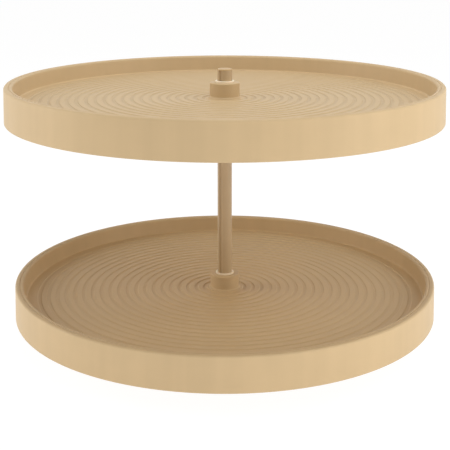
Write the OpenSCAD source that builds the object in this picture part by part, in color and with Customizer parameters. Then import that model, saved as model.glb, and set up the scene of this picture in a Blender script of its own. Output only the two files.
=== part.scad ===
// Two-shelf rotating corner-cabinet tray set.
// Two round moulded trays turn independently on one fixed keyed post, each on a thrust ball
// bearing that a clamped collar carries. The post stands in a flange screwed to the cabinet floor.
// Z is up, the origin is the middle of the flange's underside, and the front of the set faces -Y.

/* [Trays] */
// Widest diameter of a tray, across the foot of its skirt
tray_d = 610; // [450:5:820]
// Height of a tray from the foot of its skirt to the crest of its rim
tray_h = 48; // [42:1:64]
// How far the skirt leans in from its foot to its crest, on the radius
skirt_lean = 2; // [0.5:0.5:4]
// Height of the shelf surface above the foot of the skirt
shelf_z = 24.5; // [22:0.5:30]
// Thickness of the moulded walls
wall = 3; // [2:0.25:3.5]
// Width of the rim across its top
rim_w = 11.5; // [11:0.5:18]
// Rounding of the two edges of the rim
rim_round = 3; // [1:0.5:3.5]
// How far the inside of the rim leans in on its way down to the shelf
rim_lean = 3; // [0:0.5:6]
// Distance of the fine line on top of the rim from the rim's outside
rim_line_in = 6.7; // [4:0.1:7.6]
// Width of the fine line on top of the rim
rim_line_w = 1.6; // [1:0.1:2]
// Width of the flat bottom of the fine line
rim_line_floor_w = 0.6; // [0.2:0.1:0.8]
// Depth of the fine line on top of the rim
rim_line_deep = 0.8; // [0.3:0.1:1.2]
// Radius of the fillet where the rim meets the shelf
shelf_fillet = 2; // [1:0.5:8]

/* [Shelf grooves] */
// Distance from the hub's foot ring to the middle of the innermost ring groove
groove_first_gap = 6; // [4:0.5:20]
// Distance from one ring groove to the next
groove_pitch = 12.7; // [8:0.1:25]
// Width of a ring groove at the shelf surface
groove_w = 5.6; // [2:0.2:6]
// Width of the flat bottom of a ring groove
groove_floor_w = 1.6; // [0.4:0.2:1.8]
// Depth of a ring groove
groove_deep = 1; // [0.4:0.1:1.2]
// Least smooth margin between the last groove and the rim's fillet
groove_margin = 9; // [5:1:30]

/* [Underside of a tray] */
// Number of straight ribs under a shelf
rib_count = 12; // [6:1:18]
// Thickness of a rib
rib_t = 2.5; // [1.5:0.5:4]
// Drop of the straight ribs below the shelf beside the hub
rib_drop_hub = 8; // [5:0.5:10]
// Drop of the straight ribs below the shelf beside the rim
rib_drop_rim = 5; // [3:0.5:8]
// Number of round ribs under a shelf
ring_rib_count = 3; // [1:1:5]
// Drop of the round ribs below the shelf
ring_rib_drop = 4; // [3:0.5:8]

/* [Hub of a tray] */
// Outside diameter of the hub above the shelf
hub_d = 42; // [38:0.2:52]
// Height of the hub above the shelf
hub_rise = 22; // [18:0.5:30]
// Width of the foot ring round the hub, beyond the hub
hub_foot_w = 2; // [1:0.25:3]
// Height of the foot ring above the shelf
hub_foot_h = 2.4; // [1.2:0.2:4]
// Chamfer round the top of the hub
hub_chamfer = 1.2; // [0.4:0.2:2]
// Wall thickness of the hub and of its bearing tube
hub_wall = 2.5; // [2:0.25:3]
// Height of the bearing tube's lower end above the foot of the skirt
tube_end_z = 14.2; // [12:0.2:16]
// Number of webs between the hub and its bearing tube
hub_web_count = 6; // [3:1:8]
// Lift of the webs' lower ends above the end of the bearing tube
web_lift = 2; // [1:0.5:6]

/* [Post] */
// Outside diameter of the post
post_d = 20.6; // [16:0.1:25]
// Wall thickness of the post
post_wall = 2; // [1.5:0.25:2.5]
// Rise of the post's cap above the upper shelf surface
post_rise = 40.5; // [34:0.5:80]
// Height from the foot of the lower skirt to the foot of the upper skirt
tray_spacing = 282; // [150:0.2:600]
// Radius of the rolled key groove along the post
key_r = 2.5; // [2.25:0.25:3]
// Depth of the rolled key groove
key_deep = 2; // [1.5:0.25:2]
// Turn of the key groove from the front of the set towards its left
key_turn = 36; // [20:1:70]
// Thickness of a plug's cap
plug_cap_t = 2; // [1:0.5:4]
// Length of a plug inside the post
plug_len = 14; // [8:1:20]

/* [Bushes] */
// Radial running clearance between a bush and the post
run_gap = 0.08; // [0.03:0.01:0.1]
// Wall thickness of a bush
bush_wall = 1.5; // [1:0.25:2]
// Length of a bush inside the bearing tube
bush_len = 12; // [8:1:14]
// Overhang of a bush's lip beyond its shank
lip_w = 1.4; // [0.8:0.1:2.2]
// Thickness of a bush's lip
lip_t = 2.2; // [1.4:0.2:3]
// Chamfer round the top of the upper bush's lip
lip_chamfer = 0.7; // [0.3:0.1:1]
// Length of the spigot that centres the tray race
spigot_len = 1.6; // [1:0.2:2]

/* [Thrust bearings] */
// Diameter of a ball
ball_d = 4.76; // [4:0.02:5.8]
// Number of balls in a bearing
ball_count = 12; // [8:1:13]
// Width of the tray's race from its bore to the ball circle
race_in_w = 3.1; // [3:0.1:4]
// Thickness of a race
race_t = 2.5; // [2:0.25:3.5]
// Depth of the track in a race
track_deep = 0.9; // [0.5:0.1:1.2]
// Width of a race from the ball circle to its outside
race_out_w = 3.2; // [3:0.1:4]
// Clearance between a ball and its tracks
ball_gap = 0.05; // [0.03:0.01:0.1]
// Clearance between a ball and its pocket in the cage
pocket_gap = 0.1; // [0.06:0.02:0.2]
// Thickness of the cage
cage_t = 2; // [1.2:0.2:2.2]
// Width of the cage beyond its pockets, on each side
cage_edge = 0.6; // [0.4:0.1:0.8]

/* [Collars and set screws] */
// Outside diameter of a collar
collar_d = 37; // [36:1:44]
// Height of a collar
collar_h = 12; // [10:1:20]
// Radial clearance of the collars, seat races and flange round the post
slip_gap = 0.15; // [0.05:0.05:0.3]
// Chamfer of a collar's outer edges
collar_chamfer = 0.8; // [0.3:0.1:1.5]
// Diameter of a set screw
screw_d = 5; // [4:0.5:6]
// Diameter of the dog point at the tip of a set screw
dog_d = 2.5; // [2:0.1:2.6]
// Distance from the tip of a set screw to the bottom of the key groove
dog_gap = 0.4; // [0.4:0.05:0.8]
// Width across the flats of a set screw's socket
socket_af = 2.5; // [2:0.1:3]
// Depth of a set screw's socket
socket_deep = 2.6; // [1.5:0.1:3]
// How far a set screw sits in from the outside of its collar
screw_inset = 0.5; // [0.2:0.1:1]

/* [Floor flange] */
// Diameter of the flange's plate
flange_d = 96; // [90:1:140]
// Thickness of the flange's plate
flange_t = 5; // [4:0.5:8]
// Chamfer round the top edge of the plate
flange_chamfer = 1; // [0.5:0.25:2]
// Outside diameter of the socket at its top
socket_d = 34; // [32:1:40]
// How much the socket widens on the radius down to the plate
socket_lean = 1; // [0.5:0.25:2]
// Height of the socket's top above the floor
socket_top = 24; // [20:1:40]
// Thickness of the web under the end of the post
socket_floor_t = 2; // [1:0.5:3]
// Space between the socket and the lower collar
collar_lift = 2; // [0.5:0.5:10]
// Diameter of the circle of floor-screw holes
bolt_circle_d = 74; // [72:1:78]
// Diameter of a floor-screw hole
bolt_d = 5.2; // [4:0.2:6]
// Diameter of a floor-screw hole's countersink
sink_d = 10; // [8:0.5:12]
// Number of floor-screw holes, and of gussets between them
bolt_count = 4; // [4:1:5]
// Thickness of a gusset
gusset_t = 4; // [3:0.5:6]
// Distance from the edge of the plate in to the foot of a gusset
gusset_in = 6; // [4:1:12]
// Height of a gusset's outer end above the plate
gusset_toe = 1; // [0.5:0.5:3]
// Drop from the top of the socket down to a gusset
gusset_drop = 3; // [1:0.5:6]
// Height at which the flange's set screw sits
lock_z = 15; // [14:0.5:16]

/* [Hidden] */
$fn = 96;
almond = "#D2B68C";
ivory = "#F4E4C4";
steel = "#9A9A98";
zinc = "#B9BABC";

// Steps of a rounded edge, facets of a small round, overlap of joined solids and overcut of holes
arc_steps = 6;
small_fn = 48;
eps = 0.01;
over = 1;

// Radii of a tray, from outside in
foot_r = tray_d/2;
crest_r = foot_r - skirt_lean;
rim_in_r = crest_r - rim_w;
shelf_r = rim_in_r - rim_lean;
flat_r = shelf_r - shelf_fillet;
hub_r = hub_d/2;
hub_foot_r = hub_r + hub_foot_w;
post_r = post_d/2;
bush_bore_r = post_r + run_gap;
bush_r = bush_bore_r + bush_wall;
lip_r = bush_r + lip_w;
tube_r = bush_r + hub_wall;
groove_first_r = hub_foot_r + groove_first_gap;
groove_count = 1 + floor((flat_r - groove_margin - groove_w/2 - groove_first_r)/groove_pitch);

// Heights inside a tray, above the foot of its skirt
hub_top_z = shelf_z + hub_rise;
under_z = shelf_z - wall;
rim_under_z = tray_h - wall;
rib_low_z = under_z - rib_drop_rim;
hub_low_z = under_z - rib_drop_hub;
race_top_z = tube_end_z - lip_t;
ball_z = race_top_z - race_t - (ball_d/2 - track_deep);
seat_top_z = ball_z - (ball_d/2 - track_deep);
collar_top_z = seat_top_z - race_t;
collar_mid_z = collar_top_z - collar_h/2;

// Heights of the trays and the post above the cabinet floor
lower_z = socket_top + collar_lift + collar_h - collar_top_z;
upper_z = lower_z + tray_spacing;
post_low_z = socket_floor_t + plug_cap_t;
post_top_z = upper_z + shelf_z + post_rise - plug_cap_t;

// Radii of a bearing, and the key groove
ball_circle_r = bush_r + race_in_w;
race_out_r = ball_circle_r + race_out_w;
key_centre_r = post_r - key_deep + key_r;
key_angle = 270 - key_turn;
key_floor_r = post_r - key_deep;

// How deep ribs and webs run into the walls that they join
rib_sink = wall/3;

// Radius of the skirt's inner face at height z
function skirt_in_r(z) = foot_r - wall - skirt_lean*z/rim_under_z;

// Points of a circular arc about [x, y] from angle a0 to angle a1
function arc(x, y, r, a0, a1) =
    [for (i = [0:arc_steps]) let (a = a0 + (a1 - a0)*i/arc_steps) [x + r*cos(a), y + r*sin(a)]];

// Points of a sunk line in a level face at height z, drawn from outside in
function sunk_line(r, z, top_w, floor_w, deep) =
    [[r + top_w/2, z], [r + floor_w/2, z - deep], [r - floor_w/2, z - deep], [r - top_w/2, z]];

// Outline of the rim's outside, crest and inside, ending on the level part of the shelf
function rim_outline() = concat(
    [[foot_r, 0]],
    arc(crest_r - rim_round, tray_h - rim_round, rim_round, 0, 90),
    sunk_line(crest_r - rim_line_in, tray_h, rim_line_w, rim_line_floor_w, rim_line_deep),
    arc(rim_in_r + rim_round, tray_h - rim_round, rim_round, 90, 180),
    arc(flat_r, shelf_z + shelf_fillet, shelf_fillet, 0, -90));

// Ring grooves of the shelf, from the last to the first
function shelf_outline() = [for (i = [groove_count - 1:-1:0])
    each sunk_line(groove_first_r + i*groove_pitch, shelf_z, groove_w, groove_floor_w, groove_deep)];

// Foot ring, hub, bearing tube and hollow of the hub, ending under the shelf
function hub_outline() = [
    [hub_foot_r, shelf_z],
    [hub_foot_r, shelf_z + hub_foot_h/2],
    [hub_r, shelf_z + hub_foot_h],
    [hub_r, hub_top_z - hub_chamfer],
    [hub_r - hub_chamfer, hub_top_z],
    [bush_r, hub_top_z],
    [bush_r, tube_end_z],
    [tube_r, tube_end_z],
    [tube_r, hub_top_z - wall],
    [hub_r - hub_wall, hub_top_z - wall],
    [hub_r - hub_wall, hub_low_z],
    [hub_r, hub_low_z],
    [hub_r, under_z]];

// Underside of the shelf and the hollow between the rim's inner wall and its skirt
function under_outline() = [
    [shelf_r + wall, under_z],
    [rim_in_r + wall, rim_under_z],
    [crest_r - wall, rim_under_z],
    [foot_r - wall, 0]];

module tray_shell() {
    rotate_extrude()
        polygon(concat(rim_outline(), shelf_outline(), hub_outline(), under_outline()));
}

// A straight rib from the hub out to the rim, and its web across the rim's hollow
module straight_rib() {
    rotate([90, 0, 0])
        translate([0, 0, -rib_t/2])
            linear_extrude(rib_t)
                polygon([
                    [hub_r - rib_sink, hub_low_z],
                    [shelf_r + wall, rib_low_z],
                    [skirt_in_r(rib_low_z) + rib_sink, rib_low_z],
                    [skirt_in_r(rim_under_z) + rib_sink, rim_under_z + rib_sink],
                    [rim_in_r + wall - rib_sink, rim_under_z + rib_sink],
                    [shelf_r + wall - rib_sink, under_z + rib_sink],
                    [hub_r - rib_sink, under_z + rib_sink]]);
}

// A round rib of radius r under the shelf
module ring_rib(r) {
    rotate_extrude()
        translate([r - rib_t/2, under_z - ring_rib_drop])
            square([rib_t, ring_rib_drop + rib_sink]);
}

// A web between the bearing tube and the hub, up to the underside of the hub's top
module hub_web() {
    low_z = tube_end_z + web_lift;
    length = hub_r - hub_wall - tube_r + 2*rib_sink;
    translate([tube_r - rib_sink, -rib_t/2, low_z])
        cube([length, rib_t, hub_top_z - wall + rib_sink - low_z]);
}

module tray() {
    tray_shell();
    for (i = [0:rib_count - 1])
        rotate(i*360/rib_count)
            straight_rib();
    for (i = [1:ring_rib_count])
        ring_rib(hub_r + i*(shelf_r - hub_r)/(ring_rib_count + 1));
    for (i = [0:hub_web_count - 1])
        rotate((i + 0.5)*360/hub_web_count)
            hub_web();
}

// Flanged bush with its lip between z = 0 and z = lip_t and its shank below
module top_bush() {
    rotate_extrude()
        polygon([
            [bush_bore_r, -bush_len],
            [bush_r, -bush_len],
            [bush_r, 0],
            [lip_r, 0],
            [lip_r, lip_t - lip_chamfer],
            [lip_r - lip_chamfer, lip_t],
            [bush_bore_r, lip_t]]);
}

// Flanged bush with its shank above z = 0, its lip below and a spigot that centres a race
module bottom_bush() {
    rotate_extrude()
        polygon([
            [bush_bore_r, bush_len],
            [bush_r, bush_len],
            [bush_r, 0],
            [tube_r, 0],
            [tube_r, -lip_t],
            [bush_r, -lip_t],
            [bush_r, -lip_t - spigot_len],
            [bush_bore_r, -lip_t - spigot_len]]);
}

// Race with its flat back at z = 0 and its ball track facing up
module race(bore_r) {
    rotate_extrude()
        difference() {
            translate([bore_r, 0])
                square([race_out_r - bore_r, race_t]);
            translate([ball_circle_r, race_t + ball_d/2 - track_deep])
                circle(ball_d/2 + ball_gap);
        }
}

module ball_cage() {
    pocket_r = ball_d/2 + pocket_gap;
    difference() {
        translate([0, 0, -cage_t/2])
            cylinder(h = cage_t, r = ball_circle_r + pocket_r + cage_edge);
        translate([0, 0, -cage_t])
            cylinder(h = 2*cage_t, r = ball_circle_r - pocket_r - cage_edge);
        for (i = [0:ball_count - 1])
            rotate(i*360/ball_count)
                translate([ball_circle_r, 0, -cage_t])
                    cylinder(h = 2*cage_t, r = pocket_r, $fn = small_fn);
    }
}

module balls() {
    for (i = [0:ball_count - 1])
        rotate(i*360/ball_count)
            translate([ball_circle_r, 0, 0])
                sphere(ball_d/2, $fn = small_fn);
}

// Set screw lying along +X, from its dog point in the key groove to out_r
module set_screw(out_r) {
    end_r = out_r - screw_inset;
    dog_end_r = key_floor_r + dog_gap;
    body_r = post_r + slip_gap;
    rotate([0, 90, 0])
        difference() {
            union() {
                translate([0, 0, dog_end_r])
                    cylinder(h = body_r - dog_end_r + eps, d = dog_d);
                translate([0, 0, body_r])
                    cylinder(h = end_r - body_r, d = screw_d);
            }
            translate([0, 0, end_r - socket_deep])
                cylinder(h = socket_deep + eps, d = socket_af/cos(30), $fn = 6);
        }
}

// Plain hole along +X that a set screw fills, out to out_r
module screw_hole(out_r) {
    rotate([0, 90, 0])
        cylinder(h = out_r, d = screw_d);
}

// Clamped collar with its underside at z = 0
module collar() {
    collar_r = collar_d/2;
    difference() {
        rotate_extrude()
            polygon([
                [post_r + slip_gap, 0],
                [collar_r - collar_chamfer, 0],
                [collar_r, collar_chamfer],
                [collar_r, collar_h - collar_chamfer],
                [collar_r - collar_chamfer, collar_h],
                [post_r + slip_gap, collar_h]]);
        translate([0, 0, collar_h/2])
            rotate(key_angle)
                screw_hole(collar_r + over);
    }
}

// Section of the hollow inside the post, shrunk all round by shrink
module post_bore_section(shrink) {
    difference() {
        circle(post_r - post_wall - shrink);
        rotate(key_angle)
            translate([key_centre_r, 0])
                circle(key_r + post_wall + shrink);
    }
}

// Section of the post's tube with the key groove rolled into it
module post_section() {
    difference() {
        circle(post_r);
        rotate(key_angle)
            translate([key_centre_r, 0])
                circle(key_r);
        post_bore_section(0);
    }
}

// Plug with its cap between z = 0 and z = plug_cap_t and its stem below
module post_plug() {
    translate([0, 0, -plug_len])
        linear_extrude(plug_len)
            post_bore_section(slip_gap);
    cylinder(h = plug_cap_t/2, r = post_r);
    translate([0, 0, plug_cap_t/2])
        cylinder(h = plug_cap_t/2, r1 = post_r, r2 = post_r - plug_cap_t/2);
}

// Upright gusset from the socket out over the plate
module gusset() {
    toe_r = flange_d/2 - gusset_in;
    socket_r = socket_d/2;
    rotate([90, 0, 0])
        translate([0, 0, -gusset_t/2])
            linear_extrude(gusset_t)
                polygon([
                    [socket_r - rib_sink, flange_t - eps],
                    [toe_r, flange_t - eps],
                    [toe_r, flange_t + gusset_toe],
                    [socket_r, socket_top - gusset_drop],
                    [socket_r - rib_sink, socket_top - gusset_drop]]);
}

// Countersunk hole for a floor screw
module floor_screw_hole() {
    sink_deep = (sink_d - bolt_d)/2;
    translate([bolt_circle_d/2, 0, -over])
        cylinder(h = flange_t + 2*over, d = bolt_d, $fn = small_fn);
    translate([bolt_circle_d/2, 0, flange_t - sink_deep])
        cylinder(h = sink_deep + eps, d1 = bolt_d, d2 = sink_d + 2*eps, $fn = small_fn);
}

module floor_flange() {
    socket_r = socket_d/2;
    color(almond)
        difference() {
            union() {
                rotate_extrude()
                    polygon([
                        [0, 0],
                        [flange_d/2, 0],
                        [flange_d/2, flange_t - flange_chamfer],
                        [flange_d/2 - flange_chamfer, flange_t],
                        [socket_r + socket_lean, flange_t],
                        [socket_r, socket_top],
                        [0, socket_top]]);
                for (i = [0:bolt_count - 1])
                    rotate(i*360/bolt_count)
                        gusset();
            }
            translate([0, 0, socket_floor_t])
                cylinder(h = socket_top, r = post_r + slip_gap);
            translate([0, 0, lock_z])
                rotate(key_angle)
                    screw_hole(flange_d/2);
            for (i = [0:bolt_count - 1])
                rotate((i + 0.5)*360/bolt_count)
                    floor_screw_hole();
        }
}

module flange_lock_screw() {
    color(steel)
        translate([0, 0, lock_z])
            rotate(key_angle)
                set_screw(socket_d/2);
}

module post() {
    color(almond)
        translate([0, 0, post_low_z])
            linear_extrude(post_top_z - post_low_z)
                post_section();
}

module post_foot_plug() {
    color(ivory)
        translate([0, 0, post_low_z])
            mirror([0, 0, 1])
                post_plug();
}

module post_top_plug() {
    color(almond)
        translate([0, 0, post_top_z])
            post_plug();
}

module collar_at(base_z) {
    color(zinc)
        translate([0, 0, base_z + collar_top_z - collar_h])
            collar();
}

module collar_screw_at(base_z) {
    color(steel)
        translate([0, 0, base_z + collar_mid_z])
            rotate(key_angle)
                set_screw(collar_d/2);
}

module seat_race_at(base_z) {
    color(zinc)
        translate([0, 0, base_z + collar_top_z])
            race(post_r + slip_gap);
}

module ball_cage_at(base_z) {
    color(ivory)
        translate([0, 0, base_z + ball_z])
            ball_cage();
}

module balls_at(base_z) {
    color(steel)
        translate([0, 0, base_z + ball_z])
            balls();
}

module tray_race_at(base_z) {
    color(zinc)
        translate([0, 0, base_z + race_top_z])
            mirror([0, 0, 1])
                race(bush_r);
}

module bottom_bush_at(base_z) {
    color(ivory)
        translate([0, 0, base_z + tube_end_z])
            bottom_bush();
}

module top_bush_at(base_z) {
    color(ivory)
        translate([0, 0, base_z + hub_top_z])
            top_bush();
}

module tray_at(base_z) {
    color(almond)
        translate([0, 0, base_z])
            tray();
}

module lower_collar() { collar_at(lower_z); }
module lower_collar_screw() { collar_screw_at(lower_z); }
module lower_seat_race() { seat_race_at(lower_z); }
module lower_ball_cage() { ball_cage_at(lower_z); }
module lower_balls() { balls_at(lower_z); }
module lower_tray_race() { tray_race_at(lower_z); }
module lower_bottom_bush() { bottom_bush_at(lower_z); }
module lower_top_bush() { top_bush_at(lower_z); }
module lower_tray() { tray_at(lower_z); }
module upper_collar() { collar_at(upper_z); }
module upper_collar_screw() { collar_screw_at(upper_z); }
module upper_seat_race() { seat_race_at(upper_z); }
module upper_ball_cage() { ball_cage_at(upper_z); }
module upper_balls() { balls_at(upper_z); }
module upper_tray_race() { tray_race_at(upper_z); }
module upper_bottom_bush() { bottom_bush_at(upper_z); }
module upper_top_bush() { top_bush_at(upper_z); }
module upper_tray() { tray_at(upper_z); }

floor_flange();
flange_lock_screw();
post();
post_foot_plug();
post_top_plug();
lower_collar();
lower_collar_screw();
lower_seat_race();
lower_ball_cage();
lower_balls();
lower_tray_race();
lower_bottom_bush();
lower_top_bush();
lower_tray();
upper_collar();
upper_collar_screw();
upper_seat_race();
upper_ball_cage();
upper_balls();
upper_tray_race();
upper_bottom_bush();
upper_top_bush();
upper_tray();
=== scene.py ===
"""Builds the looks of a two-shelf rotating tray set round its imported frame."""

import math
from types import SimpleNamespace

import bmesh
import bpy
from bpy.props import FloatProperty, FloatVectorProperty, IntProperty, PointerProperty
from mathutils import Matrix, Vector


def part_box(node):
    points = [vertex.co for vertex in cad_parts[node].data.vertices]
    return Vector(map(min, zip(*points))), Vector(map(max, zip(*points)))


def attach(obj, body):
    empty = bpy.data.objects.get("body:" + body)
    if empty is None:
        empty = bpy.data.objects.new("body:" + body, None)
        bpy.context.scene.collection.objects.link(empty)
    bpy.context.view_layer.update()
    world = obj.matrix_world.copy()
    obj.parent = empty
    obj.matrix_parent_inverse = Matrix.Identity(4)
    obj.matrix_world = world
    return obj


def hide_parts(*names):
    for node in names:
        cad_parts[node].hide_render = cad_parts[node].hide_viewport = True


bl_info = {
    "name": "Rotating tray set",
    "version": (1, 0, 0),
    "blender": (4, 5, 0),
    "location": "View3D > Sidebar > Tray set",
    "description": "Builds two moulded trays, their post, bearings and flange, and a studio stage",
    "category": "Object",
}

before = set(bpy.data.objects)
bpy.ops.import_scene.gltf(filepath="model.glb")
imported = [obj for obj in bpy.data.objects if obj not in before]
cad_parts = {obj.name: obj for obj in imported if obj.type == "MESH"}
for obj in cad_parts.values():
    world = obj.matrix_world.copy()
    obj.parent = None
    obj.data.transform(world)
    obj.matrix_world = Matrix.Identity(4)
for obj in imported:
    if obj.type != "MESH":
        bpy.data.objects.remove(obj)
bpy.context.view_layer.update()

TIERS = ("lower", "upper")
FULL_TURN = 2*math.pi
TINY = 1e-6

# Facets of a rim or fillet, of a broad corner, and of a small edge
RIM_FACETS = 7
CORNER_FACETS = 3
EDGE_FACETS = 2
# Steps round a bush or a plug's head
SMALL_STEPS = 96
# Edges that are sharper than this show as edges
SHARP_ANGLE = math.radians(32)
# Above 50, a large face counts for more than a small one in the shading of a corner
FACE_WEIGHT = 80

# Flat bottom of the line on the rim, and edge of a round rib, as shares of their full width
LINE_FLOOR = 0.35
RIB_EDGE = 0.85
# The key groove's lips are smoothed out to this many of its radii, this many times
LIP_SPAN = 1.6
LIP_PASSES = 2
# Play of a plug's stem in the post, on the radius
PLUG_PLAY = 0.00015
# A plug's cap, in shares of its height: straight side, chamfer's width, and rounding of its edges
CAP_SIDE = 0.55
CAP_CHAMFER = 0.45
CAP_ROUND = 0.2
# Roundings of a bush and their facets: its edges, the outside of its lip, the mouth of its bore
BUSH_SOFT = (0.0003, EDGE_FACETS)
LIP_ROUND = (0.0008, 4)
BORE_ROUND = (0.0005, CORNER_FACETS)

# What full painted shade leaves of the colour in the ring grooves
PAINTED_SHADE_LEFT = 0.9
# How strongly flow streaks show on the rim of a tray
RIM_STREAKS = 1.6

# Lamps: name, turn from the front to the right and rise in degrees, side in metres, and share of a
# plain level. Each stands LAMP_FAR from the point that it aims at, on the post's axis at LAMP_AIM.
LAMPS = (("top", 0, 90, 0.8, 0.36),
         ("right", 62, 8, 1.2, 0.25),
         ("right high", 90, 32, 1.2, 0.17),
         ("left", -90, 17, 1.2, 0.36),
         ("front", 24, 40, 1.2, 0.12))
LAMP_FAR = 2.2
LAMP_AIM = 0.2
WHITE = (1, 1, 1, 1)
SKY_TINT = (1, 0.985, 0.965, 1)
FLOOR_TINT = (0.9, 0.9, 0.9, 1)
FLOOR_SIDES = 64
SENSOR_WIDTH = 36
CAMERA_SHIFT = (0.00056, -0.03138)
CAMERA_CLIP = (0.05, 50)


# Sizes and colours that a user would change


def length(name, description, default, low, high):
    """A length property in metres."""
    return FloatProperty(name=name, description=description, default=default, min=low, max=high,
                         unit="LENGTH", subtype="DISTANCE", precision=5)


def angle(name, description, default, high):
    """An angle property, whose default is in degrees."""
    return FloatProperty(name=name, description=description, default=math.radians(default), min=0,
                         max=high, subtype="ANGLE", unit="ROTATION")


def amount(name, description, default, high=1):
    """A plain number from 0 up."""
    return FloatProperty(name=name, description=description, default=default, min=0, max=high)


def count(name, description, default, low, high):
    """A whole number."""
    return IntProperty(name=name, description=description, default=default, min=low, max=high)


def colour(name, description, default):
    """A linear colour property."""
    return FloatVectorProperty(name=name, description=description, default=default, size=3,
                               min=0, max=1, subtype="COLOR")


class TraySizes(bpy.types.PropertyGroup):
    """Sizes of the two moulded trays."""
    steps: count("Steps round", "Facets round a tray", 192, 48, 360)
    skirt_lean: length("Skirt lean", "How far the skirt leans in to its crest", 0.002, 0, 0.005)
    shelf_height: length("Shelf height", "Shelf above the foot of the skirt", 0.0245, 0.02, 0.032)
    wall: length("Wall", "Thickness of the moulding", 0.003, 0.002, 0.004)
    rim_width: length("Rim width", "Width across the top of the rim", 0.0115, 0.008, 0.02)
    rim_round: length("Rim rounding", "Rounding of both edges of the rim", 0.003, 0.001, 0.005)
    rim_lean: length("Rim lean", "How far the rim's inside leans in to the shelf", 0.003, 0, 0.006)
    rim_line_in: length("Rim line place", "Line on the rim, from the rim's outside",
                        0.0067, 0.004, 0.008)
    rim_line_width: length("Rim line width", "Width of the line on the rim", 0.0016, 0.001, 0.002)
    rim_line_depth: length("Rim line depth", "Depth of the line on the rim", 0.0008, 0.0002, 0.0012)
    shelf_fillet: length("Shelf fillet", "Fillet where the rim meets the shelf",
                         0.002, 0.001, 0.008)
    edge_soft: length("Soft edge", "Rounding of the moulding's other edges", 0.0005, 0.0001, 0.001)
    groove_first: length("First groove", "Radius of the innermost ring groove", 0.029, 0.028, 0.05)
    groove_pitch: length("Groove pitch", "From one ring groove to the next", 0.0127, 0.008, 0.025)
    groove_count: count("Grooves", "Number of ring grooves", 20, 1, 40)
    groove_width: length("Groove width", "Width of a ring groove at the top", 0.0056, 0.002, 0.006)
    groove_floor: length("Groove floor", "Width of a ring groove's flat bottom",
                         0.0042, 0.0004, 0.0046)
    groove_depth: length("Groove depth", "Depth of a ring groove", 0.001, 0.0003, 0.0015)
    # Painted shade in the ring grooves of the lower and the upper tray: at 1 it darkens their
    # colour by a tenth, standing in for the shade that falls in the grooves
    groove_painted_shade: FloatVectorProperty(
        name="Groove dust", default=(0.3, 0.9), size=2, min=0, max=1,
        description="Dust in the ring grooves of the lower and the upper tray: at 1 it darkens "
                    "them by a tenth")
    groove_soft: length("Groove rounding", "Rounding of a ring groove's edges",
                        0.0004, 0.0001, 0.0006)
    hub_radius: length("Hub radius", "Outside radius of the hub", 0.021, 0.019, 0.026)
    hub_rise: length("Hub rise", "Height of the hub above the shelf", 0.022, 0.015, 0.03)
    hub_chamfer: length("Hub chamfer", "Chamfer round the top of the hub", 0.0012, 0.0004, 0.002)
    hub_foot_width: length("Hub foot width", "Foot ring beyond the hub", 0.002, 0.001, 0.003)
    hub_foot_height: length("Hub foot height", "Foot ring above the shelf", 0.0024, 0.001, 0.004)
    hub_wall: length("Hub wall", "Wall of the hub and its bearing tube", 0.0025, 0.002, 0.003)
    tube_end: length("Tube end", "End of the bearing tube above the skirt's foot",
                     0.0142, 0.012, 0.016)
    rib_count: count("Ribs", "Straight ribs under a shelf", 12, 3, 24)
    rib_width: length("Rib width", "Thickness of a rib", 0.0025, 0.0015, 0.004)
    rib_drop_hub: length("Rib drop at hub", "Drop of the straight ribs beside the hub",
                         0.008, 0.004, 0.01)
    rib_drop_rim: length("Rib drop at rim", "Drop of the straight ribs beside the rim",
                         0.005, 0.003, 0.008)
    ring_rib_count: count("Round ribs", "Round ribs under a shelf", 3, 1, 5)
    ring_rib_drop: length("Round rib drop", "Drop of the round ribs", 0.004, 0.002, 0.008)
    web_count: count("Hub webs", "Webs inside a hub", 6, 3, 8)


class PostSizes(bpy.types.PropertyGroup):
    """Sizes of the post, its plugs and the bushes that run on it."""
    steps: count("Steps round", "Facets round the post", 240, 48, 360)
    radius: length("Post radius", "Outside radius of the post", 0.0103, 0.008, 0.0125)
    wall: length("Post wall", "Wall of the post's tube", 0.002, 0.0015, 0.0025)
    key_radius: length("Key radius", "Radius of the rolled key groove", 0.0025, 0.002, 0.003)
    key_depth: length("Key depth", "Depth of the rolled key groove", 0.002, 0.0015, 0.002)
    key_turn: angle("Key turn", "Turn of the key groove from the front to the left", 36, math.pi)
    bush_gap: length("Bush clearance", "Radial clearance of a bush on the post",
                     0.00008, 0.00003, 0.0001)
    bush_wall: length("Bush wall", "Wall of a bush", 0.0015, 0.001, 0.002)
    bush_length: length("Bush length", "Length of a bush in its tube", 0.012, 0.008, 0.014)
    lip_height: length("Lip height", "Height of a bush's lip", 0.0022, 0.0014, 0.003)
    lip_width: length("Lip width", "Overhang of a bush's lip", 0.0014, 0.0008, 0.0022)
    spigot: length("Spigot", "Spigot that centres the tray race", 0.0016, 0.001, 0.002)


class FinishColours(bpy.types.PropertyGroup):
    """Colours of the set's materials, in linear light."""
    almond: colour("Tray almond", "Moulded trays and floor flange", (0.597, 0.437, 0.247))
    post: colour("Post paint", "Painted post", (0.530, 0.388, 0.226))
    cap: colour("Post cap", "Cap of the post", (0.570, 0.392, 0.196))
    ivory: colour("Bearing nylon", "Bushes, cages and foot plug", (0.930, 0.800, 0.600))
    zinc: colour("Zinc plate", "Collars and races", (0.600, 0.610, 0.620))
    steel: colour("Steel", "Set screws and balls", (0.450, 0.450, 0.455))


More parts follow.
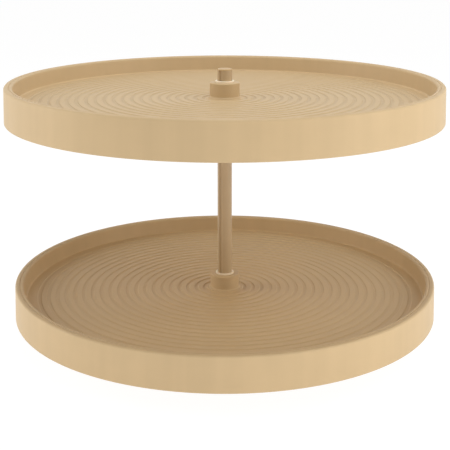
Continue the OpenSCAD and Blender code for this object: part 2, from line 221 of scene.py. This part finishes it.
class StageSettings(bpy.types.PropertyGroup):
    """The floor, the lights and the camera."""
    floor_radius: length("Floor radius", "Radius of the floor", 9.0, 1, 50)
    floor_share: amount("Floor whitening",
                        "Share of plain white in what the camera sees of the floor", 0.85)
    floor_glow: amount("Floor bounce", "Light that the lit floor sends up", 0.6)
    sky: amount("Soft light", "Strength of the even light from all round", 0.36, 2)
    camera_height: length("Camera height", "Height of the camera above the floor", 0.5606, 0.1, 3)
    camera_distance: length("Camera distance", "Level distance of the camera from the post",
                            1.3713, 0.5, 5)
    camera_drop: angle("Camera drop", "How far the camera looks down", 15.712, 1.5)
    focal_length: FloatProperty(name="Focal length", default=78.537, min=20, max=200,
                                description="Focal length in millimetres on a 36 mm sensor")


# Node trees


class Wire:
    """An output in a finish's node tree, on which Python's arithmetic adds Math nodes."""

    def __init__(self, finish, socket):
        self.finish = finish
        self.socket = socket

    def __add__(self, other):
        return self.finish.maths("ADD", self, other)

    def __sub__(self, other):
        return self.finish.maths("SUBTRACT", self, other)

    def __rsub__(self, other):
        return self.finish.maths("SUBTRACT", other, self)

    def __mul__(self, other):
        return self.finish.maths("MULTIPLY", self, other)

    __radd__ = __add__
    __rmul__ = __mul__

    def between(self, low, high):
        """1 where the value is above high, 0 below low, and a smooth step between."""
        return self.finish.wire("MapRange", {"interpolation_type": "SMOOTHSTEP"},
                                {"Value": self, "From Min": low, "From Max": high})


class Finish:
    """A material or world whose node tree is written as expressions."""

    def __init__(self, owner, principled=None):
        """Principled gives the constants of the main shader; without it there is none."""
        owner.use_nodes = True
        self.owner = owner
        self.tree = owner.node_tree
        self.tree.nodes.clear()
        kind = "World" if isinstance(owner, bpy.types.World) else "Material"
        self.end = self.node("Output" + kind)
        if principled is not None:
            self.shader = self.node("BsdfPrincipled", sockets=principled)
            self.show(Wire(self, self.shader.outputs[0]))

    def node(self, kind, settings=None, sockets=None):
        """Any node: its type, its settings, then its sockets' values or wires."""
        made = self.tree.nodes.new("ShaderNode" + kind)
        for name, value in (settings or {}).items():
            setattr(made, name, value)
        for key, value in (sockets or {}).items():
            if isinstance(value, Wire):
                self.tree.links.new(value.socket, made.inputs[key])
            else:
                made.inputs[key].default_value = value
        return made

    def wire(self, kind, settings=None, sockets=None, output=0):
        """The output of a new node."""
        return Wire(self, self.node(kind, settings, sockets).outputs[output])

    def show(self, wire):
        """Joins a shader's wire to the output of the tree."""
        self.tree.links.new(wire.socket, self.end.inputs["Surface"])

    def feed(self, socket, wire):
        """Joins a wire to a socket of the main shader."""
        self.tree.links.new(wire.socket, self.shader.inputs[socket])

    def maths(self, operation, *values):
        return self.wire("Math", {"operation": operation}, dict(enumerate(values)))

    def place(self):
        """Object coordinates, the same for every piece, because each sits at the origin."""
        return self.wire("TexCoord", output="Object")

    def noise(self, place, scale, detail=2, rough=0.5):
        return self.wire("TexNoise", {"noise_dimensions": "3D"},
                         {"Vector": place, "Scale": scale, "Detail": detail, "Roughness": rough})

    def stretched(self, place, stretch, scale, detail=2):
        """Noise that is drawn out by a different amount along each axis."""
        moved = self.wire("Mapping", {"vector_type": "POINT"}, {"Vector": place, "Scale": stretch})
        return self.noise(moved, scale, detail)

    def across(self, place):
        """Distance from the post's axis."""
        flat = self.wire("VectorMath", {"operation": "MULTIPLY"}, {0: place, 1: (1, 1, 0)})
        return self.wire("VectorMath", {"operation": "LENGTH"}, {0: flat}, output="Value")

    def rings(self, place, scale):
        """Noise that only changes with the distance from the axis, as turned lines do."""
        return self.wire("TexNoise", {"noise_dimensions": "1D"},
                         {"W": self.across(place)*scale, "Detail": 1})

    def blend(self, share, first, second):
        """A colour between two colours."""
        return self.wire("Mix", {"data_type": "RGBA", "clamp_factor": True},
                         {0: share, 6: first, 7: second}, output=2)

    def tones(self, share, rgb, dark, light):
        """A colour that runs from a darker to a lighter shade."""
        return self.blend(share, shade(rgb, dark), shade(rgb, light))

    def finished(self, base, roughness, relief, depth, strength):
        """The owner, with its main shader fed. Relief is from 0 to 1, times a depth in metres."""
        self.feed("Base Color", base)
        self.feed("Roughness", roughness)
        self.feed("Normal", self.wire("Bump", {}, {"Height": relief, "Distance": depth,
                                                   "Strength": strength}))
        return self.owner


def new_finish(name, **constants):
    return Finish(bpy.data.materials.new(name), constants)


def shade(rgb, factor):
    """A linear colour made lighter or darker, with its alpha."""
    return tuple(min(1, c*factor) for c in rgb) + (1,)


def uneven(level, *pushes):
    """A level moved up and down by pairs of a wire, whose middle is 0.5, and its strength."""
    for wire, strength in pushes:
        level = level + (wire - 0.5)*strength
    return level


def painted_shade_share(made, tray, far, rim):
    """Share of painted shade in the ring grooves: 1 in the middle of a ring groove, and 0 between
    grooves, on the hub and rim and below.
    """
    turn = (far - tray.groove_first)*(FULL_TURN/tray.groove_pitch)
    ring = made.maths("COSINE", turn)*0.5 + 0.5
    normal = made.wire("NewGeometry", output="Normal")
    upward = made.wire("SeparateXYZ", {}, {"Vector": normal}, output="Z").between(0.2, 0.4)
    shelf = far.between(tray.groove_first - tray.groove_width, tray.groove_first)*(1 - rim)*upward
    return ring*ring*shelf


def moulded_finish(name, rgb, roughness, lines, tray=None, painted_shade=0.0):
    """Satin moulded plastic: faint flow mottling, a fine pebble grain and turned lines from the
    mould. On a tray, painted shade darkens the ring grooves and flow streaks run up the rim."""
    made = new_finish(name, **{"IOR": 1.46, "Specular IOR Level": 0.2})
    place = made.place()
    flow = made.stretched(place, stretch=(1, 1, 2.5), scale=9, detail=3)
    cloud = made.noise(place, scale=55, detail=3)
    grain = made.noise(place, scale=1400, detail=1)
    pebble = made.noise(place, scale=620, rough=0.6)
    tone = uneven(0.5, (flow, 1.1), (cloud, 0.5), (grain, 0.22))
    if tray:
        far = made.across(place)
        last = tray.groove_first + (tray.groove_count - 0.5)*tray.groove_pitch
        rim = far.between(last, last + tray.groove_pitch)
        streak = made.stretched(place, stretch=(1, 1, 0.04), scale=52)
        tone = uneven(tone, (streak, rim*RIM_STREAKS))
    moulding = made.tones(tone, rgb, 0.965, 1.03)
    # On a tray, the shade that falls in the ring grooves is painted into the colour
    if tray:
        share = painted_shade_share(made, tray, far, rim)*painted_shade
        moulding = made.blend(share, moulding, shade(rgb, PAINTED_SHADE_LEFT))
    relief = pebble*0.75 + grain*0.25
    if lines:
        relief = relief + made.rings(place, scale=2600)*lines
    return made.finished(moulding, uneven(roughness, (cloud, 0.10), (pebble, 0.08)),
                         relief, depth=0.00006, strength=0.35)


def painted_finish(name, rgb, roughness):
    """Powder paint on a rolled tube: orange peel, faint draw lines along it and small scuffs."""
    made = new_finish(name, **{"Coat Roughness": 0.28, "IOR": 1.48, "Specular IOR Level": 0.35})
    place = made.place()
    peel = made.noise(place, scale=950, rough=0.45)
    draw = made.stretched(place, stretch=(1, 1, 0.02), scale=900)
    cloud = made.noise(place, scale=34, detail=3)
    scuff = made.stretched(place, stretch=(1, 1, 0.16), scale=420, detail=3).between(0.66, 0.74)
    made.feed("Coat Weight", 0.16 - scuff*0.1)
    paint = made.tones(uneven(0.5, (cloud, 0.9), (draw, 0.35)), rgb, 0.95, 1.05)
    return made.finished(paint, uneven(roughness, (peel, 0.08)) + scuff*0.12,
                         peel*0.8 + draw*0.2, depth=0.00005, strength=0.4)


def nylon_finish(name, rgb, roughness):
    """Bearing nylon: slightly waxy, with turned lines and a little grey from running."""
    made = new_finish(name, **{"IOR": 1.5, "Specular IOR Level": 0.4,
                               "Subsurface Weight": 0.06, "Subsurface Scale": 0.002})
    place = made.place()
    cloud = made.noise(place, scale=160, detail=3)
    rings = made.rings(place, scale=5200)
    nylon = made.tones(uneven(0.5, (cloud, 0.8), (rings, 0.3)), rgb, 0.94, 1.03)
    return made.finished(nylon, uneven(roughness, (cloud, 0.12)),
                         rings*0.7 + cloud*0.3, depth=0.00003, strength=0.4)


def plated_finish(name, rgb, roughness):
    """Bright plated steel: turned lines, a mottled passivated film and tiny pits."""
    made = new_finish(name, Metallic=1.0)
    place = made.place()
    film = made.noise(place, scale=130, detail=4, rough=0.6)
    rings = made.rings(place, scale=7000)
    pits = made.noise(place, scale=2100).between(0.62, 0.72)
    warm = (rgb[0]*1.03, rgb[1]*0.99, rgb[2]*0.90, 1)
    plating = made.blend(film*0.7 + rings*0.3, warm, shade(rgb, 1.06))
    return made.finished(plating, uneven(roughness, (film, 0.16)) + pits*0.1,
                         rings - pits*0.5, depth=0.00002, strength=0.5)


def steel_finish(name, rgb, roughness):
    """Oiled steel: a fine even grain and faint smears."""
    made = new_finish(name, Metallic=1.0)
    place = made.place()
    smear = made.noise(place, scale=240, detail=3, rough=0.6)
    grain = made.noise(place, scale=3200, detail=1)
    return made.finished(made.tones(smear, rgb, 0.93, 1.05),
                         uneven(roughness, (smear, 0.14), (grain, 0.05)),
                         grain, depth=0.00001, strength=0.4)


# Mesh helpers


def soften(bm, geom, rounding, facets, affect):
    """Rounds corners or edges."""
    bmesh.ops.bevel(bm, geom=geom, offset=rounding, offset_type="OFFSET", affect=affect,
                    segments=facets, profile=0.5, material=-1)


def outwards(bm):
    """Turns a mesh's faces outwards."""
    bmesh.ops.recalc_face_normals(bm, faces=bm.faces[:])


def move_new(bm, extruded, step):
    """Moves the corners that an extrusion has made."""
    made = [item for item in extruded["geom"] if isinstance(item, bmesh.types.BMVert)]
    bmesh.ops.translate(bm, verts=made, vec=step)


def rotate(bm, turn, axis="Z"):
    bmesh.ops.rotate(bm, verts=bm.verts[:], cent=(0, 0, 0), matrix=Matrix.Rotation(turn, 3, axis))


def turned(outline, steps):
    """A mesh turned on the post's axis from corners (radius, height[, rounding, facets]).
    An outline that starts and ends on the axis closes in poles there."""
    bm = bmesh.new()
    verts = [bm.verts.new((corner[0], 0, corner[1])) for corner in outline]
    for one, two in zip(verts, verts[1:]):
        bm.edges.new((one, two))
    if outline[0][0] > 0:
        bm.edges.new((verts[-1], verts[0]))
    rounded = {}
    for vert, corner in zip(verts, outline):
        if len(corner) > 2:
            rounded.setdefault(corner[2:], []).append(vert)
    for (rounding, facets), chosen in rounded.items():
        soften(bm, chosen, rounding, facets, "VERTICES")
    bmesh.ops.spin(bm, geom=bm.verts[:] + bm.edges[:], cent=(0, 0, 0), axis=(0, 0, 1),
                   dvec=(0, 0, 0), angle=FULL_TURN, steps=steps, use_merge=True,
                   use_duplicate=False)
    bmesh.ops.remove_doubles(bm, verts=bm.verts[:], dist=TINY)
    outwards(bm)
    return bm


def plate(corners, thickness, soft):
    """An upright plate from corners (distance from the axis, height), its free edges rounded."""
    bm = bmesh.new()
    face = bm.faces.new([bm.verts.new((x, -thickness/2, z)) for x, z in corners])
    move_new(bm, bmesh.ops.extrude_face_region(bm, geom=[face]), (0, thickness, 0))
    long_edges = [e for e in bm.edges if abs(e.verts[0].co.y - e.verts[1].co.y) < TINY]
    soften(bm, long_edges, soft, EDGE_FACETS, "EDGES")
    outwards(bm)
    return bm


def mesh_from(name, bm):
    """A mesh from a bmesh, which is freed."""
    mesh = bpy.data.meshes.new(name)
    bm.to_mesh(mesh)
    bm.free()
    return mesh


def join(parts):
    """One bmesh from several, which are freed."""
    bm = bmesh.new()
    for part in parts:
        mesh = mesh_from("joining", part)
        bm.from_mesh(mesh)
        bpy.data.meshes.remove(mesh)
    return bm


def spread(bm, copies, first=0.0):
    """Copies of a bmesh evenly round the axis, joined."""
    made = []
    for i in range(copies):
        one = bm.copy()
        rotate(one, first + i*FULL_TURN/copies)
        made.append(one)
    bm.free()
    return join(made)


def new_object(name, data):
    """An object in the scene, at the origin."""
    obj = bpy.data.objects.new(name, data)
    bpy.context.scene.collection.objects.link(obj)
    return obj


def piece(name, bm, body, material, nodes=(), height=0.0):
    """A finished piece, raised to its height: shaded, on its body, standing for its CAD nodes."""
    bmesh.ops.translate(bm, verts=bm.verts[:], vec=(0, 0, height))
    mesh = mesh_from(name, bm)
    mesh.shade_smooth()
    mesh.set_sharp_from_angle(angle=SHARP_ANGLE)
    mesh.materials.append(bpy.data.materials[material])
    obj = new_object(name, mesh)
    steady = obj.modifiers.new("steady shading", "WEIGHTED_NORMAL")
    steady.keep_sharp = True
    steady.weight = FACE_WEIGHT
    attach(obj, body)
    if nodes:
        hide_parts(*nodes)


def dress(node, material):
    """Gives a CAD node whose shape stays a finish of this script."""
    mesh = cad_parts[node].data
    mesh.materials.clear()
    mesh.materials.append(bpy.data.materials[material])


def foot_of(tier):
    """Height of a tray's skirt foot, from the frame."""
    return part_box(tier + "_tray")[0].z


# Pieces


class TRAYSET_OT_finishes(bpy.types.Operator):
    """Make the materials of the set"""
    bl_idname = "trayset.finishes"
    bl_label = "Finishes"

    def execute(self, context):
        use, tray = context.scene.trayset_finishes, context.scene.trayset_trays
        satin = {"roughness": 0.46, "lines": 0.5}
        moulded_finish("moulded_almond", use.almond, **satin)
        # Each tray gets its own amount of painted shade in its ring grooves
        for tier, painted_shade in zip(TIERS, tray.groove_painted_shade):
            moulded_finish(tier + "_moulding", use.almond, **satin, tray=tray, painted_shade=painted_shade)
        moulded_finish("moulded_cap", use.cap, roughness=0.42, lines=0)
        painted_finish("painted_post", use.post, roughness=0.40)
        nylon_finish("bearing_nylon", use.ivory, roughness=0.36)
        plated_finish("zinc_plated", use.zinc, roughness=0.30)
        steel_finish("oiled_steel", use.steel, roughness=0.26)
        steel_finish("polished_balls", shade(use.steel, 1.5)[:3], roughness=0.12)
        return {"FINISHED"}


def tray_marks(size, post):
    """The radii and heights that a tray's corners share, its skirt's foot being at height 0."""
    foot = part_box("lower_tray")[1].x
    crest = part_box("lower_tray")[1].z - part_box("lower_tray")[0].z
    hub_top = size.shelf_height + size.hub_rise
    if hub_top > crest:
        raise RuntimeError("the hub stands above the rim")
    crest_r = foot - size.skirt_lean
    rim_in = crest_r - size.rim_width
    under = size.shelf_height - size.wall
    bush_r = post.radius + post.bush_gap + post.bush_wall
    return SimpleNamespace(
        foot=foot, crest=crest, crest_r=crest_r, rim_in=rim_in, shelf_r=rim_in - size.rim_lean,
        under=under, rim_under=crest - size.wall, low=under - size.rib_drop_hub,
        hub_top=hub_top, hub_under=hub_top - size.wall, hub_in=size.hub_radius - size.hub_wall,
        bush_r=bush_r, tube_r=bush_r + size.hub_wall)


class TRAYSET_OT_trays(bpy.types.Operator):
    """Mould both trays, with the ribs and webs under them"""
    bl_idname = "trayset.trays"
    bl_label = "Trays"

    def rim(self, size, at):
        """Corners up the skirt, over the rim and its line, and down to the shelf."""
        edge, fine = (size.edge_soft, EDGE_FACETS), (size.edge_soft/2, EDGE_FACETS)
        rim_round, fillet = (size.rim_round, RIM_FACETS), (size.shelf_fillet, RIM_FACETS)
        line_r, half = at.crest_r - size.rim_line_in, size.rim_line_width/2
        bottom = at.crest - size.rim_line_depth
        return [(at.foot, 0) + edge,
                (at.crest_r, at.crest) + rim_round,
                (line_r + half, at.crest) + fine,
                (line_r + half*LINE_FLOOR, bottom),
                (line_r - half*LINE_FLOOR, bottom),
                (line_r - half, at.crest) + fine,
                (at.rim_in, at.crest) + rim_round,
                (at.shelf_r, size.shelf_height) + fillet]

    def grooves(self, size):
        """Corners of the ring grooves, from the outermost to the innermost."""
        wide, narrow = size.groove_width/2, size.groove_floor/2
        shelf = size.shelf_height
        bottom = shelf - size.groove_depth
        lip, floor = (size.groove_soft, EDGE_FACETS), (size.groove_soft, 1)
        corners = []
        for i in reversed(range(size.groove_count)):
            r = size.groove_first + i*size.groove_pitch
            corners += [(r + wide, shelf) + lip, (r + narrow, bottom) + floor,
                        (r - narrow, bottom) + floor, (r - wide, shelf) + lip]
        return corners

    def hub(self, size, at):
        """Corners up the foot ring and the hub, down its bore, and up and down its hollow."""
        edge, fine = (size.edge_soft, EDGE_FACETS), (size.edge_soft/2, EDGE_FACETS)
        shelf, hub = size.shelf_height, size.hub_radius
        ring_r = hub + size.hub_foot_width
        return [(ring_r, shelf) + edge,
                (ring_r, shelf + size.hub_foot_height/2) + edge,
                (hub, shelf + size.hub_foot_height) + edge,
                (hub, at.hub_top - size.hub_chamfer) + fine,
                (hub - size.hub_chamfer, at.hub_top) + fine,
                (at.bush_r, at.hub_top) + fine,
                (at.bush_r, size.tube_end),
                (at.tube_r, size.tube_end) + fine,
                (at.tube_r, at.hub_under) + edge,
                (at.hub_in, at.hub_under) + edge,
                (at.hub_in, at.low) + fine,
                (hub, at.low) + fine]

    def underside(self, size, at):
        """Corners under the shelf, round its round ribs, and under the rim back to the foot."""
        edge, broad = (size.edge_soft, EDGE_FACETS), (size.edge_soft*3, CORNER_FACETS)
        hub, under, wall, half = size.hub_radius, at.under, size.wall, size.rib_width/2
        drop = under - size.ring_rib_drop
        corners = [(hub, under) + broad]
        for i in range(1, size.ring_rib_count + 1):
            r = hub + i*(at.shelf_r - hub)/(size.ring_rib_count + 1)
            corners += [(r - half, under) + edge, (r - half*RIB_EDGE, drop) + edge,
                        (r + half*RIB_EDGE, drop) + edge, (r + half, under) + edge]
        return corners + [(at.shelf_r + wall, under) + broad,
                          (at.rim_in + wall, at.rim_under) + broad,
                          (at.crest_r - wall, at.rim_under) + broad,
                          (at.foot - wall, 0) + edge]

    def ribs(self, size, at):
        """The straight ribs under a shelf and the webs inside its hub, sunk into their walls."""
        wall, sink, hub = size.wall, size.wall/3, size.hub_radius
        rib_low = at.under - size.rib_drop_rim
        skirt_in = at.foot - wall - size.skirt_lean*rib_low/at.rim_under
        rib = plate([(hub - sink, at.low),
                     (at.shelf_r + wall, rib_low),
                     (skirt_in + sink, rib_low),
                     (at.crest_r - wall + sink, at.rim_under + sink),
                     (at.rim_in + wall - sink, at.rim_under + sink),
                     (at.shelf_r + wall - sink, at.under + sink),
                     (hub - sink, at.under + sink)], size.rib_width, size.edge_soft)
        inner, outer = at.tube_r - sink, at.hub_in + sink
        low, high = size.tube_end + wall*2/3, at.hub_under + sink
        web = plate([(inner, low), (outer, low), (outer, high), (inner, high)],
                    size.rib_width, size.edge_soft)
        return join([spread(rib, size.rib_count),
                     spread(web, size.web_count, FULL_TURN/size.web_count/2)])

    def execute(self, context):
        size, post = context.scene.trayset_trays, context.scene.trayset_post
        at = tray_marks(size, post)
        outline = (self.rim(size, at) + self.grooves(size) + self.hub(size, at)
                   + self.underside(size, at))
        for tier in TIERS:
            piece(tier + "_tray_moulding", turned(outline, size.steps), tier + "_shelf",
                  tier + "_moulding", [tier + "_tray"], foot_of(tier))
            piece(tier + "_tray_ribs", self.ribs(size, at), tier + "_shelf",
                  "moulded_almond", height=foot_of(tier))
        return {"FINISHED"}


def keyed_loop(bm, post, inset, low):
    """A ring of edges at height low: the post's section moved in by inset, with the key groove
    rolled in."""
    radius = post.radius - inset
    ring = bmesh.ops.create_circle(bm, segments=post.steps, radius=radius)["verts"]
    key_r = post.key_radius + inset
    centre = post.radius - post.key_depth + post.key_radius
    lips = []
    for vert in ring:
        turn = math.atan2(vert.co.x, -vert.co.y) + post.key_turn
        ahead, aside = centre*math.cos(turn), centre*math.sin(turn)
        if ahead <= 0:
            continue
        reach = key_r**2 - aside**2
        if reach > 0:
            depth = ahead - math.sqrt(reach)
            if depth < radius:
                vert.co *= depth/radius
        if abs(aside) < key_r*LIP_SPAN:
            lips.append(vert)
    for _ in range(LIP_PASSES):
        bmesh.ops.smooth_vert(bm, verts=lips, factor=0.5, use_axis_x=True, use_axis_y=True)
    bmesh.ops.translate(bm, verts=ring, vec=(0, 0, low))


class TRAYSET_OT_post(bpy.types.Operator):
    """Roll the post's keyed tube and close both its ends with plugs"""
    bl_idname = "trayset.post"
    bl_label = "Post and plugs"

    def tube(self, post, low, high):
        bm = bmesh.new()
        keyed_loop(bm, post, 0, low)
        move_new(bm, bmesh.ops.extrude_edge_only(bm, edges=bm.edges[:]), (0, 0, high - low))
        outwards(bm)
        bmesh.ops.solidify(bm, geom=bm.faces[:], thickness=post.wall)
        outwards(bm)
        return bm

    def plug(self, post, cap, stem):
        """A cap standing on height 0 with its keyed stem below."""
        bm = bmesh.new()
        keyed_loop(bm, post, post.wall + PLUG_PLAY, -stem)
        face = bm.faces.new(bm.verts[:])
        move_new(bm, bmesh.ops.extrude_face_region(bm, geom=[face]), (0, 0, stem))
        outwards(bm)
        head = turned([(0, 0), (post.radius, 0),
                       (post.radius, cap*CAP_SIDE, cap*CAP_ROUND, EDGE_FACETS),
                       (post.radius - cap*CAP_CHAMFER, cap, cap*CAP_ROUND, CORNER_FACETS),
                       (0, cap)], SMALL_STEPS)
        return join([bm, head])

    def execute(self, context):
        post = context.scene.trayset_post
        low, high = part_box("post")[0].z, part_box("post")[1].z
        piece("post_tube", self.tube(post, low, high), "stand", "painted_post",
              ["post"])
        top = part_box("post_top_plug")
        cap, stem = top[1].z - high, high - top[0].z
        piece("post_cap", self.plug(post, cap, stem), "stand", "moulded_cap",
              ["post_top_plug"], high)
        # Upside down, and then turned so that its key meets the post's key groove again
        foot = self.plug(post, cap, stem)
        rotate(foot, math.pi, "Y")
        rotate(foot, -2*post.key_turn)
        piece("post_foot", foot, "stand", "bearing_nylon", ["post_foot_plug"], low)
        return {"FINISHED"}


class TRAYSET_OT_bushes(bpy.types.Operator):
    """Mould the upper and lower bush of each hub"""
    bl_idname = "trayset.bushes"
    bl_label = "Bushes"

    def execute(self, context):
        size, post = context.scene.trayset_trays, context.scene.trayset_post
        bore = post.radius + post.bush_gap
        shank = bore + post.bush_wall
        lip_r, tube_r = shank + post.lip_width, shank + size.hub_wall
        lip, end = post.lip_height, post.bush_length
        spigot = -lip - post.spigot
        for tier in TIERS:
            top = turned([(bore, -end) + BUSH_SOFT, (shank, -end) + BUSH_SOFT,
                          (shank, 0), (lip_r, 0) + BUSH_SOFT,
                          (lip_r, lip) + LIP_ROUND, (bore, lip) + BORE_ROUND], SMALL_STEPS)
            piece(tier + "_top_bush_ring", top, tier + "_shelf", "bearing_nylon",
                  [tier + "_top_bush"], foot_of(tier) + size.shelf_height + size.hub_rise)
            bottom = turned([(bore, end) + BUSH_SOFT, (shank, end) + BUSH_SOFT,
                             (shank, 0), (tube_r, 0) + BUSH_SOFT,
                             (tube_r, -lip) + BUSH_SOFT, (shank, -lip),
                             (shank, spigot) + BUSH_SOFT, (bore, spigot) + BUSH_SOFT],
                            SMALL_STEPS)
            piece(tier + "_bottom_bush_ring", bottom, tier + "_shelf", "bearing_nylon",
                  [tier + "_bottom_bush"], foot_of(tier) + size.tube_end)
        return {"FINISHED"}


class TRAYSET_OT_bearings(bpy.types.Operator):
    """Finish the races, cages and balls of both thrust bearings"""
    bl_idname = "trayset.bearings"
    bl_label = "Thrust bearings"

    def execute(self, context):
        for tier in TIERS:
            dress(tier + "_seat_race", "zinc_plated")
            dress(tier + "_tray_race", "zinc_plated")
            dress(tier + "_ball_cage", "bearing_nylon")
            dress(tier + "_balls", "polished_balls")
        return {"FINISHED"}


class TRAYSET_OT_collars(bpy.types.Operator):
    """Finish the collars and the set screws"""
    bl_idname = "trayset.collars"
    bl_label = "Collars and set screws"

    def execute(self, context):
        for tier in TIERS:
            dress(tier + "_collar", "zinc_plated")
            dress(tier + "_collar_screw", "oiled_steel")
        dress("flange_lock_screw", "oiled_steel")
        return {"FINISHED"}


class TRAYSET_OT_flange(bpy.types.Operator):
    """Finish the floor flange"""
    bl_idname = "trayset.flange"
    bl_label = "Floor flange"

    def execute(self, context):
        dress("floor_flange", "moulded_almond")
        return {"FINISHED"}


# Stage


class TRAYSET_OT_stage(bpy.types.Operator):
    """Set the pale floor, the soft lights and the camera"""
    bl_idname = "trayset.stage"
    bl_label = "Stage"

    def seen(self, made):
        """1 for what the camera, a reflection or a view through glass sees, and 0 for light."""
        path = made.node("LightPath")
        camera, glossy, through = (Wire(made, path.outputs["Is %s Ray" % kind])
                                   for kind in ("Camera", "Glossy", "Transmission"))
        return made.maths("MAXIMUM", made.maths("MAXIMUM", camera, glossy), through)

    def world(self, stage):
        made = Finish(bpy.data.worlds.new("soft room"))
        light = made.wire("Background", {}, {"Color": SKY_TINT, "Strength": stage.sky})
        white = made.wire("Background", {}, {"Color": WHITE, "Strength": 1.0})
        made.show(made.wire("MixShader", {}, {0: self.seen(made), 1: light, 2: white}))
        bpy.context.scene.world = made.owner

    def floor(self, stage):
        """A pale disc that glows, shows nearly white and can't be seen from below."""
        bm = bmesh.new()
        bmesh.ops.create_circle(bm, cap_ends=True, segments=FLOOR_SIDES, radius=stage.floor_radius)
        mesh = mesh_from("floor", bm)
        made = Finish(bpy.data.materials.new("pale_floor"))
        plain = made.wire("BsdfDiffuse", {}, {"Color": FLOOR_TINT})
        white = made.wire("Emission", {}, {"Color": WHITE, "Strength": 1.0})
        glow = made.wire("Emission", {}, {"Color": WHITE, "Strength": stage.floor_glow})
        sweep = made.wire("AddShader", {}, {0: plain, 1: glow})
        lit = made.wire("MixShader", {}, {0: self.seen(made)*stage.floor_share, 1: sweep, 2: white})
        clear = made.wire("BsdfTransparent")
        back = made.wire("NewGeometry", output="Backfacing")
        made.show(made.wire("MixShader", {}, {0: back, 1: lit, 2: clear}))
        mesh.materials.append(made.owner)
        floor = new_object("floor", mesh)

    def lamp(self, name, turn, rise, side, share):
        """A soft square lamp: at share 1 it alone would show a surface that faces it in that
        surface's colour."""
        turn, rise = math.radians(turn), math.radians(rise)
        level = LAMP_FAR*math.cos(rise)
        aim = Vector((0, 0, LAMP_AIM))
        place = aim + Vector((level*math.sin(turn), -level*math.cos(turn), LAMP_FAR*math.sin(rise)))
        data = bpy.data.lights.new(name, "AREA")
        data.size = side
        data.energy = share*(math.pi*LAMP_FAR)**2
        obj = new_object(name, data)
        obj.location = place
        obj.rotation_euler = (aim - place).to_track_quat("-Z", "Y").to_euler()

    def camera(self, stage):
        data = bpy.data.cameras.new("camera")
        data.sensor_fit = "HORIZONTAL"
        data.sensor_width = SENSOR_WIDTH
        data.lens = stage.focal_length
        data.shift_x, data.shift_y = CAMERA_SHIFT
        data.clip_start, data.clip_end = CAMERA_CLIP
        obj = new_object("camera", data)
        obj.location = (0, -stage.camera_distance, stage.camera_height)
        obj.rotation_euler = (math.pi/2 - stage.camera_drop, 0, 0)
        bpy.context.scene.camera = obj

    def execute(self, context):
        stage = context.scene.trayset_stage
        context.scene.view_settings.view_transform = "Standard"
        self.world(stage)
        self.floor(stage)
        for lamp in LAMPS:
            self.lamp(*lamp)
        self.camera(stage)
        return {"FINISHED"}


OPERATORS = (TRAYSET_OT_finishes, TRAYSET_OT_trays, TRAYSET_OT_post, TRAYSET_OT_bushes,
             TRAYSET_OT_bearings, TRAYSET_OT_collars, TRAYSET_OT_flange, TRAYSET_OT_stage)
GROUPS = {"trayset_trays": TraySizes, "trayset_post": PostSizes,
          "trayset_finishes": FinishColours, "trayset_stage": StageSettings}


class TRAYSET_PT_panel(bpy.types.Panel):
    """Sizes, colours and steps of the tray set"""
    bl_idname = "TRAYSET_PT_panel"
    bl_label = "Rotating tray set"
    bl_space_type = "VIEW_3D"
    bl_region_type = "UI"
    bl_category = "Tray set"

    def draw(self, context):
        for name, group in GROUPS.items():
            box = self.layout.box()
            for field in group.__annotations__:
                box.prop(getattr(context.scene, name), field)
        for operator in OPERATORS:
            self.layout.operator(operator.bl_idname)


def register():
    for name, group in GROUPS.items():
        bpy.utils.register_class(group)
        setattr(bpy.types.Scene, name, PointerProperty(type=group))
    for operator in OPERATORS:
        bpy.utils.register_class(operator)
    bpy.utils.register_class(TRAYSET_PT_panel)


def unregister():
    bpy.utils.unregister_class(TRAYSET_PT_panel)
    for operator in reversed(OPERATORS):
        bpy.utils.unregister_class(operator)
    for name, group in GROUPS.items():
        delattr(bpy.types.Scene, name)
        bpy.utils.unregister_class(group)


def main():
    register()
    for operator in OPERATORS:
        group, name = operator.bl_idname.split(".")
        getattr(getattr(bpy.ops, group), name)()


if __name__ == "__main__":
    main()
